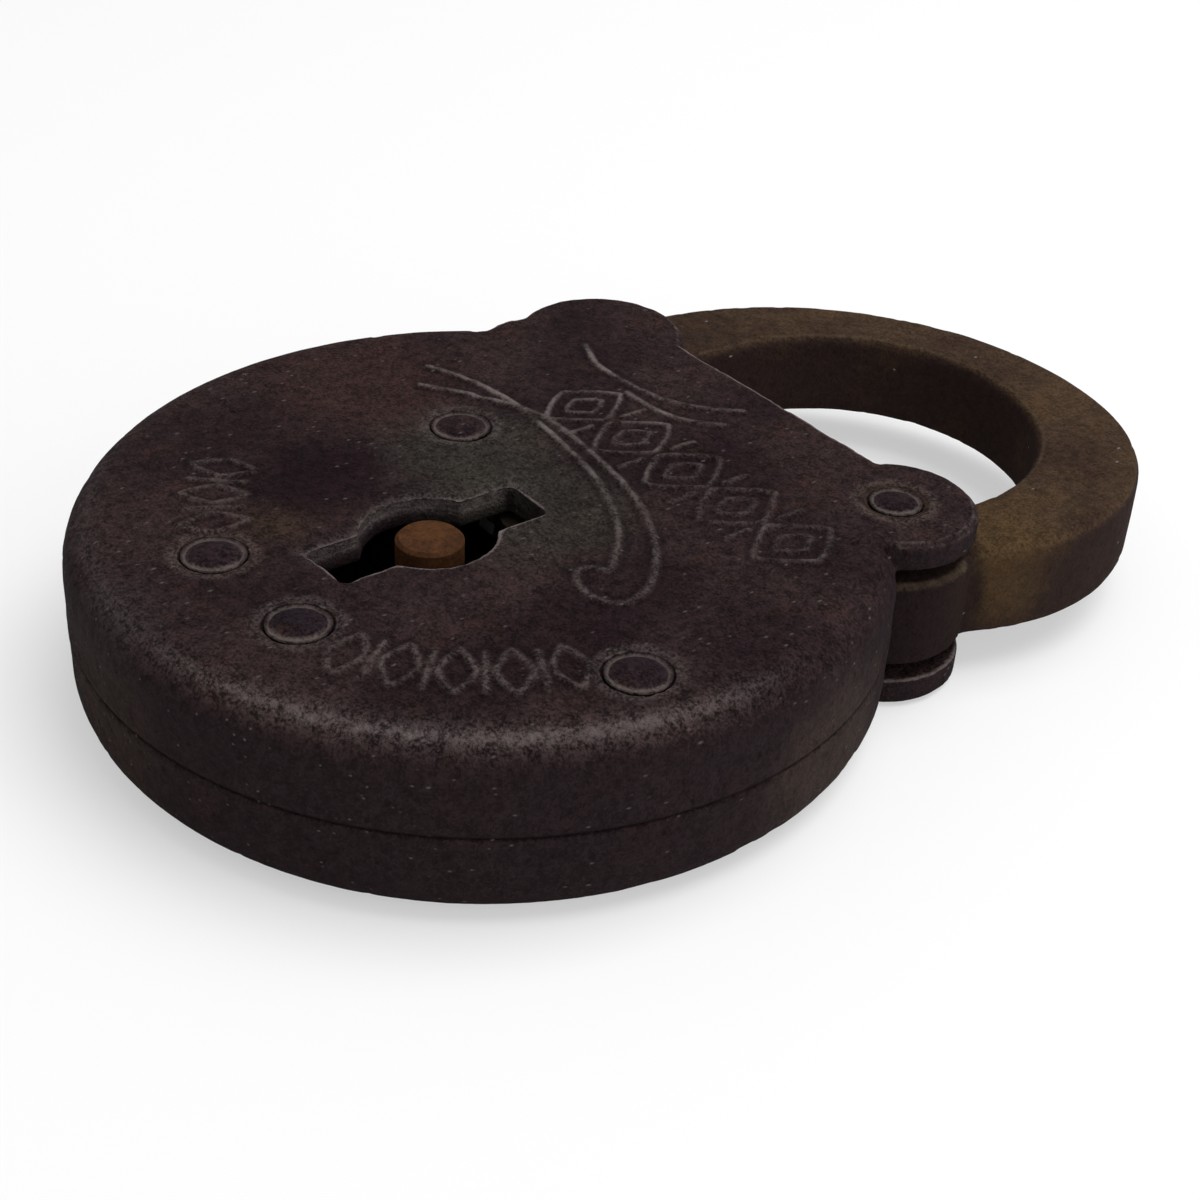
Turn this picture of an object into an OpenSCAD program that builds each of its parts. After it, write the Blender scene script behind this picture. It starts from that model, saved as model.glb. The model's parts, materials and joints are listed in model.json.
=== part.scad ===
// Round lever padlock: two pressed shells riveted together, a swinging bar shackle,
// a turning-key keyhole with a centre post, and a bolt held by six spring levers.
// The lock lies on its back. The origin is on the back face, under the centre of the
// round case. +Z comes out of the keyhole side and +Y points to the shackle.

/* [Case] */
// Radius of the round case
case_r = 30; // [29.5:0.1:30.5]
// Thickness of the closed case
case_t = 14.2; // [14:0.1:14.6]
// Thickness of the front and back plates
plate_t = 2.4; // [2.3:0.05:2.4]
// Thickness of the side wall
wall_t = 2.2; // [2:0.1:2.4]
// Radius of the case's rounded shoulders
shoulder_r = 3.4; // [3:0.1:3.8]
// Height of the straight edge between the two ears
saddle_y = 27.8; // [27.6:0.1:28]
// Depth of the V groove where the shells meet
seam_d = 0.22; // [0.1:0.02:0.3]

/* [Ears] */
// Sideways place of the pivot ear's centre
ear_x = 16.7; // [16.6:0.05:16.8]
// Height of the pivot ear's centre
ear_y = 24.8; // [24.6:0.1:25]
// Radius of the pivot ear
ear_r = 6.2; // [6.1:0.05:6.3]
// Radius of the ear over the shackle's free leg
toe_ear_r = 7; // [6.9:0.05:7.1]
// Bevel round the outside of each ear
ear_bevel = 0.5; // [0.3:0.1:0.6]

/* [Shackle] */
// Outer radius over the shackle's top and free side
top_r = 26.1; // [25.9:0.1:26.3]
// Outer radius on the shackle's pivot side
side_r = 19.3; // [19.1:0.1:19.5]
// Radius of the round top of the shackle's opening
gap_r = 15; // [14.8:0.1:15.2]
// Height of that round top's centre, shackle closed
gap_y = 34.4; // [34.2:0.1:34.6]
// Thickness of the shackle bar, front to back
bar_t = 7.6; // [7.4:0.1:7.8]
// Rounding of the bar's edges
bar_edge = 0.9; // [0.7:0.1:1.1]
// Thickness of the knuckle on the pivot rivet
knuckle_t = 7.2; // [7:0.1:7.4]
// How far the shackle stands open at rest, in degrees
rest_open = 5; // [4:0.5:5]

/* [Keyhole] */
// Sideways place of the keyhole's centre
key_x = 1.9; // [1.7:0.1:2.1]
// Height of the keyhole's centre
key_y = -6.1; // [-6.3:0.1:-5.9]
// Radius of the keyhole's round middle
key_r = 4.7; // [4.6:0.1:4.8]
// Reach of each keyhole slot from the centre
slot_reach = 8.5; // [8.3:0.1:8.7]
// Width of the keyhole slots
slot_w = 4.5; // [4.4:0.1:4.6]
// Radius of the centre post
post_r = 2.45; // [2.4:0.05:2.5]
// How far the post's top lies below the front face
post_drop = 0.45; // [0.3:0.05:0.8]

/* [Rivets] */
// Radius of a case rivet's shank
rivet_r = 1.6; // [1.5:0.05:1.7]
// Radius of a case rivet's head
head_r = 2.15; // [2.1:0.05:2.2]
// Depth of the recess that a head sits in
recess_d = 0.55; // [0.5:0.05:0.6]
// How far a head's crown stands above the face
crown = 0.22; // [0.1:0.02:0.3]

/* [Mechanism] */
// Travel of the bolt
bolt_travel = 3.5; // [3.3:0.1:3.5]
// Thickness of the bolt plate
bolt_t = 2.2; // [2:0.1:2.2]
// Thickness of one lever
lever_t = 0.95; // [0.9:0.01:1]
// Distance from one lever to the next
lever_pitch = 1.1; // [1.08:0.01:1.12]

/* [Hidden] */
$fn = 96;
lever_count = 6;
half_t = case_t / 2;
inner_r = case_r - wall_t;
inner_corner_r = shoulder_r - wall_t;
// Clear height between the two plates
room_z0 = plate_t;
room_z1 = case_t - plate_t;

// Ears and the pockets behind them
ear_pos = [ear_x, ear_y];
toe_ear_pos = [-17.5, 23.8];
fillet_pos = [-18.6, 18.4];
fillet_r = 4.7;
pocket_gap = 0.9;
saddle_wall_x = 9.6;
saddle_plate_x = 13;

// Case rivets: above the keyhole, left, bottom and right
rivet_at = [[-9.9, 4.5], [-3.6, -20], [6.8, -19.5], [23.4, -4.5]];
head_gap = 0.15;
back_head_in = 0.06;
pivot_r = 1.5;
pivot_head_r = 1.85;
running_gap = 0.06;

// Shackle, closed: the outside is a wide arc that runs on into a narrower one
top_pos = [2.3, 30];
arc_join = 80;
arc_step = 0.02;
arc_lap = 10;
side_start = -25;
side_pos = top_pos + (top_r - side_r) * [cos(arc_join), sin(arc_join)];
heel_x = 21.4;
heel_w = 8;
toe_x = -23.75;
inside_x = -10;
// Outer share of each softened edge
soft = 0.3;
bar_z = half_t;
knuckle_r = ear_r;
knuckle_lap = 0.4;
toe_end = [-18.45, 21.4];
toe_round_r = 3.8;
notch_x = -18.5;
notch_y0 = 19.8;
notch_y1 = 25.6;

// Lever pin, bolt and levers
pin_r = 1.5;
pin_at = [13, 9.5];
bolt_z = room_z0 + 0.2;
bolt_tip_x = -14.6;
bolt_head_y = [23.1, 25.2];
bolt_head_top = 9.2;
guide_gap = 0.15;
stump_r = 1.1;
stump_at = [-1.5, 11.5];
lever_z0 = bolt_z + bolt_t + 0.2;
stump_top = lever_z0 + lever_count * lever_pitch;
lever_hub_r = 3.6;
// Lift of each lever at the stump when the bolt is half way
lever_lift = [0.45, 0.62, 0.52, 0.7, 0.55, 0.66];
gate_gap = 0.28;
spring_t = 0.3;
spring_w = 0.8;
spring_x = 9.2;
spring_root_y0 = 11.3;
spring_root_y1 = 14;
spring_bow_r = 11.1;
// Recess in the wall between the ears for the springs' tips, when the levers lift
tip_recess_x = [-2.6, 4.6];
tip_recess_d = 1.4;

function node_row(stem) = [for (k = [1:lever_count]) str(stem, k)];

// A box between two corners
module block(low, high) {
    translate(low) cube(high - low);
}

// A flat bar with round ends between two points, as a plate of height h
module slot_plate(a, b, r, h) {
    run = b - a;
    flank = 0.97 * r;
    translate(a) {
        cylinder(r = r, h = h);
        translate(run) cylinder(r = r, h = h);
        rotate(atan2(run.y, run.x)) translate([0, -flank, 0]) cube([norm(run), 2 * flank, h]);
    }
}

// Solid half of the round case, plate down, with a rounded shoulder
module dish_outside() {
    rotate_extrude() difference() {
        union() {
            square([case_r - shoulder_r, half_t]);
            translate([0, shoulder_r]) square([case_r, half_t - shoulder_r]);
            translate([case_r - shoulder_r, shoulder_r]) circle(shoulder_r);
        }
        translate([case_r, half_t]) rotate(45) square(seam_d * sqrt(2), center = true);
    }
}

// Space inside half of the case
module dish_inside() {
    translate([0, 0, plate_t]) rotate_extrude() {
        square([inner_r - inner_corner_r, half_t]);
        translate([0, inner_corner_r]) square([inner_r, half_t]);
        translate([inner_r - inner_corner_r, inner_corner_r]) circle(inner_corner_r);
    }
}

// One ear, bevelled outside, with the flat tab that joins it to the plate
module ear_plate(at, r) {
    tab_l = 9;
    tab_w = 1.96 * (r - ear_bevel);
    translate(at) {
        cylinder(r1 = r - ear_bevel, r2 = r, h = ear_bevel);
        translate([0, 0, ear_bevel]) cylinder(r = r, h = plate_t - ear_bevel);
        rotate(atan2(at.y, at.x)) translate([-tab_l, -tab_w / 2, 0]) cube([tab_l, tab_w, plate_t]);
    }
}

// Room for the toe of the shackle inside the case
module toe_pocket(h) {
    translate(toe_ear_pos) cylinder(r = toe_ear_r + pocket_gap, h = h);
    translate(toe_end) cylinder(r = toe_round_r + 0.7, h = h);
}

// Half of the case with its plate at z = 0
module half_shell() {
    difference() {
        union() {
            difference() {
                dish_outside();
                dish_inside();
            }
            ear_plate(ear_pos, ear_r);
            ear_plate(toe_ear_pos, toe_ear_r);
            translate(fillet_pos) cylinder(r = fillet_r, h = plate_t);
            block([-saddle_plate_x, 14, 0], [saddle_plate_x, saddle_y, plate_t]);
            block([-saddle_wall_x, saddle_y - plate_t, 0], [saddle_wall_x, saddle_y, half_t]);
        }
        block([-11.2, saddle_y, -1], [11.2, case_r + 1, case_t]);
        block([tip_recess_x[0], saddle_y - plate_t - 1, plate_t],
              [tip_recess_x[1], saddle_y - plate_t + tip_recess_d, case_t]);
        translate([0, 0, plate_t]) {
            translate(ear_pos) cylinder(r = ear_r + pocket_gap, h = case_t);
            toe_pocket(case_t);
        }
        rivet_holes();
    }
}

// Through holes and head recesses for every rivet, plate at z = 0
module rivet_holes() {
    for (p = rivet_at) translate(p) rivet_hole(rivet_r, head_r);
    translate(ear_pos) rivet_hole(pivot_r, pivot_head_r);
}

module rivet_hole(r, head) {
    translate([0, 0, -1]) cylinder(r = r, h = plate_t + 2);
    translate([0, 0, -1]) cylinder(r = head + head_gap, h = recess_d + 1);
}

// The keyhole: a round middle with two straight slots
module keyhole(h) {
    translate([key_x, key_y, 0]) {
        cylinder(r = key_r, h = h);
        translate([-slot_w / 2, -slot_reach, 0]) cube([slot_w, 2 * slot_reach, h]);
    }
}

module front_shell() {
    color([0.2, 0.15, 0.14]) difference() {
        translate([0, 0, case_t]) mirror([0, 0, 1]) half_shell();
        translate([0, 0, room_z1 - 1]) keyhole(plate_t + 2);
    }
}

module back_shell() {
    color([0.18, 0.13, 0.12]) difference() {
        half_shell();
        translate([key_x, key_y, -1]) cylinder(r = post_r - 0.6, h = plate_t + 2);
        translate([pin_at.x, pin_at.y, -1]) cylinder(r = pin_r, h = plate_t + 2);
    }
}

// Half section of a disc of radius r whose rim has the bar's softened edges
module disc_section(r) {
    t = bar_t / 2;
    c = bar_edge;
    f = soft * c;
    polygon([[0, -t], [r - c, -t], [r - f, -t + f], [r, -t + c],
             [r, t - c], [r - f, t - f], [r - c, t], [0, t]]);
}

// Section of the straight bar from x0 to x1, at mid height
module bar_section(x0, x1) {
    mid = (x0 + x1) / 2;
    for (side = [-1, 1]) translate([mid, 0]) scale([side, 1]) disc_section((x1 - x0) / 2);
}

// A straight leg of the bar from x0 to x1, from y_high down to y_low
module leg(x0, x1, y_high, y_low) {
    translate([0, y_high, 0]) rotate([90, 0, 0]) linear_extrude(y_high - y_low) bar_section(x0, x1);
}

// A sector of a soft-edged disc, from one angle on through a sweep
module sector(at, r, start, sweep) {
    translate(at) rotate(start) rotate_extrude(angle = sweep) disc_section(r);
}

// Half section of the shackle's opening, flared where the bar's edges are softened
module opening_section() {
    t = bar_t / 2;
    c = bar_edge;
    f = soft * c;
    polygon([[0, -t - c], [gap_r + 2 * c, -t - c], [gap_r + f, -t + f], [gap_r, -t + c],
             [gap_r, t - c], [gap_r + f, t - f], [gap_r + 2 * c, t + c], [0, t + c]]);
}

// The opening of the shackle, down to y_low
module shackle_opening(y_low) {
    translate([0, gap_y, 0]) {
        rotate_extrude() opening_section();
        for (side = [-1, 1]) scale([side, 1, 1])
            rotate([90, 0, 0]) linear_extrude(gap_y - y_low) opening_section();
    }
}

// The shackle closed, at mid height
module closed_shackle() {
    difference() {
        union() {
            difference() {
                union() {
                    sector(side_pos, side_r - arc_step, side_start, arc_join - side_start + arc_lap);
                    sector(top_pos, top_r, arc_join, 180 - arc_join);
                    leg(heel_x - heel_w, heel_x, gap_y, ear_y - 1);
                }
                shackle_opening(ear_y - 2);
                translate([ear_x, ear_y, -bar_t]) cylinder(r = knuckle_r - knuckle_lap, h = 2 * bar_t);
            }
            translate([ear_x, ear_y, 0]) knuckle();
            toe_leg();
        }
        translate([ear_x, ear_y, -bar_t]) cylinder(r = pivot_r + running_gap, h = 2 * bar_t);
        block([notch_x, notch_y0, -bar_t], [inside_x, notch_y1, bar_t]);
    }
}

// Round boss on the pivot rivet, with softened rims
module knuckle() {
    rim = 0.5;
    translate([0, 0, -knuckle_t / 2]) {
        cylinder(r1 = knuckle_r - rim, r2 = knuckle_r, h = rim);
        translate([0, 0, rim]) cylinder(r = knuckle_r, h = knuckle_t - 2 * rim);
        translate([0, 0, knuckle_t - rim]) cylinder(r1 = knuckle_r, r2 = knuckle_r - rim, h = rim);
    }
}

// The free leg, trimmed to stay inside the ears and rounded at its tip
module toe_leg() {
    intersection() {
        leg(toe_x, -gap_r, top_pos.y + 1, toe_end.y - toe_round_r - 1);
        union() {
            block([toe_x - 1, toe_end.y, -bar_t], [inside_x, gap_y, bar_t]);
            translate([toe_end.x, toe_end.y, -bar_t]) cylinder(r = toe_round_r, h = 2 * bar_t);
        }
        union() {
            block([toe_x - 1, toe_ear_pos.y, -bar_t], [inside_x, gap_y, bar_t]);
            translate([toe_ear_pos.x, toe_ear_pos.y, -bar_t]) cylinder(r = toe_ear_r - 0.2, h = 2 * bar_t);
            translate([0, 0, -bar_t]) cylinder(r = case_r - 0.5, h = 2 * bar_t);
        }
    }
}

module shackle() {
    color([0.33, 0.27, 0.18])
        translate([ear_x, ear_y, bar_z]) rotate(-rest_open) translate([-ear_x, -ear_y, 0])
            closed_shackle();
}

// A through rivet: flush head at the back, low crowned head at the front
module rivet(r, head) {
    sphere_r = (head * head + crown * crown) / (2 * crown);
    translate([0, 0, back_head_in]) cylinder(r = head, h = recess_d - back_head_in);
    translate([0, 0, recess_d]) cylinder(r = r, h = case_t - 2 * recess_d);
    translate([0, 0, case_t - recess_d]) cylinder(r = head, h = recess_d);
    translate([0, 0, case_t]) rotate_extrude() intersection() {
        translate([0, crown - sphere_r]) circle(sphere_r, $fn = 200);
        square([head, crown + 1]);
    }
}

module case_rivet(i) {
    color([0.24, 0.18, 0.17]) translate(rivet_at[i]) rivet(rivet_r, head_r);
}

module upper_rivet() { case_rivet(0); }
module left_rivet() { case_rivet(1); }
module bottom_rivet() { case_rivet(2); }
module right_rivet() { case_rivet(3); }

module pivot_rivet() {
    color([0.24, 0.17, 0.15]) translate(ear_pos) rivet(pivot_r, pivot_head_r);
}

// Post that the hollow key turns on, riveted through the back plate
module key_post() {
    bevel = 0.25;
    top = case_t - post_drop;
    color([0.45, 0.26, 0.14]) translate([key_x, key_y, 0]) {
        translate([0, 0, back_head_in]) cylinder(r = post_r - 0.6, h = plate_t - back_head_in);
        translate([0, 0, plate_t]) cylinder(r = post_r, h = top - bevel - plate_t);
        translate([0, 0, top - bevel]) cylinder(r1 = post_r, r2 = post_r - bevel, h = bevel);
    }
}

// Pin that the levers turn on, also a guide for the bolt
module lever_pin() {
    color([0.5, 0.48, 0.44]) translate(pin_at)
        translate([0, 0, back_head_in]) cylinder(r = pin_r, h = room_z1 - 0.1 - back_head_in);
}

// Sliding bolt, drawn back: head, plate, two guide slots and the key's talon
module lock_bolt() {
    guide_r = rivet_r + guide_gap;
    color([0.46, 0.4, 0.26]) translate([0, 0, bolt_z]) difference() {
        union() {
            block([bolt_tip_x, bolt_head_y[0], 0], [-5, bolt_head_y[1], bolt_t]);
            block([bolt_tip_x, bolt_head_y[0], 0], [-8.4, bolt_head_y[1], bolt_head_top - bolt_z]);
            block([-6, 18, 0], [7.5, bolt_head_y[1], bolt_t]);
            block([-5, 1, 0], [6.5, 19, bolt_t]);
            block([-13.2, 1.7, 0], [-3, 7.3, bolt_t]);
            block([5, 6.9, 0], [19.3, 12.1, bolt_t]);
        }
        translate([0, 0, -1]) {
            slot_plate(rivet_at[0], rivet_at[0] + [bolt_travel, 0], guide_r, bolt_t + 2);
            slot_plate(pin_at, pin_at + [bolt_travel, 0], pin_r + guide_gap, bolt_t + 2);
            translate(stump_at) cylinder(r = stump_r, h = bolt_t + 2);
            block([0.5, 0, 0], [5.1, 3.4, bolt_t + 2]);
        }
    }
}

// Pin on the bolt that has to pass every lever's gate
module bolt_stump() {
    color([0.5, 0.48, 0.44]) translate(stump_at)
        translate([0, 0, bolt_z]) cylinder(r = stump_r, h = stump_top - bolt_z);
}

// Way of the stump past lever k, seen from the lever: down by twice its lift
function gate_end(k) = stump_at - [bolt_travel + 0.1, 2 * lever_lift[k - 1] * 1.08];

// One flat lever: hub on the pin, belly over the key, two pockets and a gate
module lever(k) {
    belly = 2.1 - lever_lift[k - 1];
    color([0.56, 0.46, 0.24]) translate([0, 0, lever_z0 + (k - 1) * lever_pitch]) difference() {
        union() {
            translate(pin_at) cylinder(r = lever_hub_r, h = lever_t);
            linear_extrude(lever_t) polygon([
                [13, 12.9], [5, 14.6], [-7.2, 15.4], [-8.4, 14.2], [-8.4, 8.2], [-5.5, 6.4],
                [-2.2, belly + 0.8], [0.2, belly], [3.8, belly], [6.2, 3.4], [9, 5.6], [13, 6.1]]);
        }
        translate([0, 0, -1]) {
            translate(pin_at) cylinder(r = pin_r + running_gap, h = lever_t + 2);
            slot_plate(stump_at, gate_end(k), stump_r + gate_gap, lever_t + 2);
            block([-2.9, 8.8, 0], [-0.1, 13, lever_t + 2]);
            block([-6.6, 8.8, 0], [-3.9, 13, lever_t + 2]);
            block([spring_x, spring_root_y0, 0], [spring_x + spring_t, 15, lever_t + 2]);
        }
    }
}

// Leaf spring let into lever k, bearing on the wall between the ears
module lever_spring(k) {
    color([0.4, 0.4, 0.42])
        translate([spring_x, 0, lever_z0 + (k - 1) * lever_pitch + (lever_t - spring_w) / 2]) {
            block([0, spring_root_y0, 0], [spring_t, spring_root_y1, spring_w]);
            translate([spring_t / 2 - spring_bow_r, spring_root_y1, 0]) rotate_extrude(angle = 90)
                translate([spring_bow_r - spring_t / 2, 0]) square([spring_t, spring_w]);
        }
}

front_shell();
back_shell();
shackle();
pivot_rivet();
upper_rivet();
left_rivet();
bottom_rivet();
right_rivet();
key_post();
lever_pin();
lock_bolt();
bolt_stump();
for (k = [1:lever_count]) lever(k);
for (k = [1:lever_count]) lever_spring(k);
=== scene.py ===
"""Looks of a round, rusted lever padlock that lies on its back with its shackle a little open.

The case shells and the shackle get worn skins with real relief, the face gets its stamped
ornament, and every piece gets a procedural finish. Some light and shade is painted into the
colour: highlights on the shoulder ridge and the rivet rims, shade in the rivet gaps and at the
feet of the stamped lines, darker side walls, and lighter patches on the case's walls and shoulder.
Sizes are in millimetres until a mesh is made.
"""
import json
import logging
import math
from dataclasses import dataclass, field
from enum import Enum
from typing import Callable, Iterable, Sequence

import bmesh
import bpy
import numpy as np
from mathutils import Matrix, Vector
from mathutils.kdtree import KDTree


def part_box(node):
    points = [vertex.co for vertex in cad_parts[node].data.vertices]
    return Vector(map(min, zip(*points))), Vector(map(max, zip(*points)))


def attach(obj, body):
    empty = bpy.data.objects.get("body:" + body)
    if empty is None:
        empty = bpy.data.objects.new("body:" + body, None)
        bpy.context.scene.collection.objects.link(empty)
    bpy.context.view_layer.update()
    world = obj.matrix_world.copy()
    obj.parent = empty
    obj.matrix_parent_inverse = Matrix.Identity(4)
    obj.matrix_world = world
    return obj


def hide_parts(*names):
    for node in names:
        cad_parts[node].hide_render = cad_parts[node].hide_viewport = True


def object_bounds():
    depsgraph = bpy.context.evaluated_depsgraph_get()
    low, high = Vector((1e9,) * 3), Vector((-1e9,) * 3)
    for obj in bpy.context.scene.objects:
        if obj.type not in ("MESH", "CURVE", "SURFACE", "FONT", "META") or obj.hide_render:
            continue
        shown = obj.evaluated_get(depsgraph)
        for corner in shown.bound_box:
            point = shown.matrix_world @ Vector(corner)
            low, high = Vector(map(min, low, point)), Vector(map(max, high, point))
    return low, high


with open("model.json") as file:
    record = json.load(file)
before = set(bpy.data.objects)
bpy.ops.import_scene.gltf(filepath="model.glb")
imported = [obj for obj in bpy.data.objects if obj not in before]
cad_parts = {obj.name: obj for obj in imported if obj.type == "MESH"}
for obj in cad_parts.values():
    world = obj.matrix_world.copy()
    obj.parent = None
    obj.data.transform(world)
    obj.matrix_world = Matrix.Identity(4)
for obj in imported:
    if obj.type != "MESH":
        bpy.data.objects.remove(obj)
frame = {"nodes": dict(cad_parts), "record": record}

CAD_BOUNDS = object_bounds()
MM = 0.001
LOG = logging.getLogger("padlock")
# The way, in plan, towards the camera: the painted highlights on the shoulder ridge and on the rivet rims are
# put on this side
TOWARD_CAMERA = np.array((0.78, -0.63))

Colour = tuple[float, float, float]
Point2 = tuple[float, float]


def box_mm(node: str) -> tuple[np.ndarray, np.ndarray]:
    """Gives a construction node's box.

    Args:
        node: Name of the node.

    Returns:
        Its lowest and highest corner, in millimetres.
    """
    low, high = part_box(node)
    return np.array(low) / MM, np.array(high) / MM


def centre_mm(node: str) -> np.ndarray:
    """Gives the middle of a node's box, in millimetres."""
    low, high = box_mm(node)
    return (low + high) / 2


# ----------------------------------------------------------------------------- relief helpers


@dataclass(frozen=True)
class Grain:
    """Smooth repeatable noise from -1 to 1 on a lattice that repeats far outside the part."""

    cell: float
    seed: int
    lattice: int = 61

    def at(self, points: np.ndarray) -> np.ndarray:
        """Samples the noise.

        Args:
            points: Places in millimetres, one row each.

        Returns:
            One value for each place.
        """
        table = np.random.default_rng(self.seed).random((self.lattice,) * 3) * 2 - 1
        scaled = points / self.cell + 0.37 * self.seed
        corner = np.floor(scaled).astype(int)
        part = scaled - corner
        part = part * part * (3 - 2 * part)
        total = np.zeros(len(points))
        for dx in (0, 1):
            for dy in (0, 1):
                for dz in (0, 1):
                    index = (corner + (dx, dy, dz)) % self.lattice
                    weight = np.prod(np.abs(1 - np.array((dx, dy, dz)) - part), axis=1)
                    total += weight * table[index[:, 0], index[:, 1], index[:, 2]]
        return total


def ramp(value: np.ndarray, low: float, high: float) -> np.ndarray:
    """Maps low to 0 and high to 1 smoothly, and holds the ends."""
    t = np.clip((value - low) / (high - low), 0, 1)
    return t * t * (3 - 2 * t)


def super_oval(half_w: float, half_h: float, power: float, count: int) -> np.ndarray:
    """Draws a closed outline between a lozenge and an ellipse.

    Args:
        half_w: Half width in millimetres.
        half_h: Half height in millimetres.
        power: 1 is a lozenge and 2 an ellipse.
        count: Number of points.

    Returns:
        The outline's points, one row each.
    """
    angle = np.arange(count) * 2 * math.pi / count
    c, s = np.cos(angle), np.sin(angle)
    across = half_w * np.sign(c) * np.abs(c) ** (2 / power)
    along = half_h * np.sign(s) * np.abs(s) ** (2 / power)
    return np.stack([across, along], axis=1)


def smooth_line(points: Sequence[Point2], step: float, closed: bool = False) -> np.ndarray:
    """Runs an even, smooth curve through a few points.

    Args:
        points: Points of the curve in millimetres.
        step: Distance from one curve point to the next.
        closed: Whether the curve comes back to its start.

    Returns:
        The curve's points, one row each.
    """
    knots = np.array(points, float)
    if closed:
        knots = np.vstack([knots[-1:], knots, knots[:2]])
    else:
        knots = np.vstack([2 * knots[0] - knots[1], knots, 2 * knots[-1] - knots[-2]])
    parts = []
    for a, b, c, d in zip(knots, knots[1:], knots[2:], knots[3:]):
        t = np.linspace(0, 1, 24, endpoint=False)[:, None]
        bend, twist = 2 * a - 5 * b + 4 * c - d, 3 * b - a - 3 * c + d
        parts.append(0.5 * (2 * b + (c - a) * t + bend * t**2 + twist * t**3))
    dense = np.vstack(parts + [knots[-2:-1]])
    run = np.concatenate([[0], np.cumsum(np.linalg.norm(np.diff(dense, axis=0), axis=1))])
    even = np.linspace(0, run[-1], max(4, int(run[-1] / step)))
    if closed:
        even = even[:-1]
    return np.stack([np.interp(even, run, dense[:, 0]), np.interp(even, run, dense[:, 1])], axis=1)


# ----------------------------------------------------------------------------- node helpers


class Graph:
    """A short way to write a shader tree."""

    def __init__(self, tree: bpy.types.NodeTree) -> None:
        """Wraps a node tree."""
        self.tree = tree

    def add(self, kind: str, inputs: dict | None = None, **settings: object) -> bpy.types.Node:
        """Adds a node.

        Args:
            kind: Node type.
            inputs: Socket name or number to a value or another node's output socket.
            **settings: Properties of the node.

        Returns:
            The node.
        """
        node = self.tree.nodes.new(kind)
        for name, value in settings.items():
            setattr(node, name, value)
        for name, value in (inputs or {}).items():
            if isinstance(value, bpy.types.NodeSocket):
                self.tree.links.new(value, node.inputs[name])
            else:
                node.inputs[name].default_value = value
        return node

    def link(self, source: bpy.types.NodeSocket, target: bpy.types.NodeSocket) -> None:
        """Joins two sockets."""
        self.tree.links.new(source, target)

    def math(self, operation: str, a: object, b: object = 0.0, clamp: bool = False) -> bpy.types.NodeSocket:
        """Adds a Math node and gives its output."""
        return self.add("ShaderNodeMath", {0: a, 1: b}, operation=operation, use_clamp=clamp).outputs[0]

    def stored(self, name: str) -> bpy.types.NodeSocket:
        """Reads a number that is stored on the mesh's points."""
        return self.add("ShaderNodeAttribute", attribute_name=name).outputs["Fac"]

    def ramp(
        self, value: object, low: object, high: object, to: tuple[float, float] = (0, 1)
    ) -> bpy.types.NodeSocket:
        """Adds a smooth Map Range from low..high to the two ends of to, and gives its output."""
        ends = {"Value": value, "From Min": low, "From Max": high, "To Min": to[0], "To Max": to[1]}
        return self.add("ShaderNodeMapRange", ends, interpolation_type="SMOOTHSTEP").outputs["Result"]

    def mix(self, factor: object, a: object, b: object, blend: str = "MIX") -> bpy.types.NodeSocket:
        """Adds a colour Mix node.

        Args:
            factor: Share of b.
            a: First colour, three numbers or a socket.
            b: Second colour, three numbers or a socket.
            blend: Blend type.

        Returns:
            The mixed colour's socket.
        """
        colours = [c if isinstance(c, bpy.types.NodeSocket) else (*c, 1.0) for c in (a, b)]
        inputs = {0: factor, 6: colours[0], 7: colours[1]}
        return self.add("ShaderNodeMix", inputs, data_type="RGBA", blend_type=blend).outputs[2]


class Effect(Enum):
    """The shared surface effects, each a node group."""

    PATCHES = "patches"
    SPECKLE = "speckle"
    PITS = "pits"
    NICKS = "nicks"
    STAIN = "stain"
    EDGES = "edges"


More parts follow.
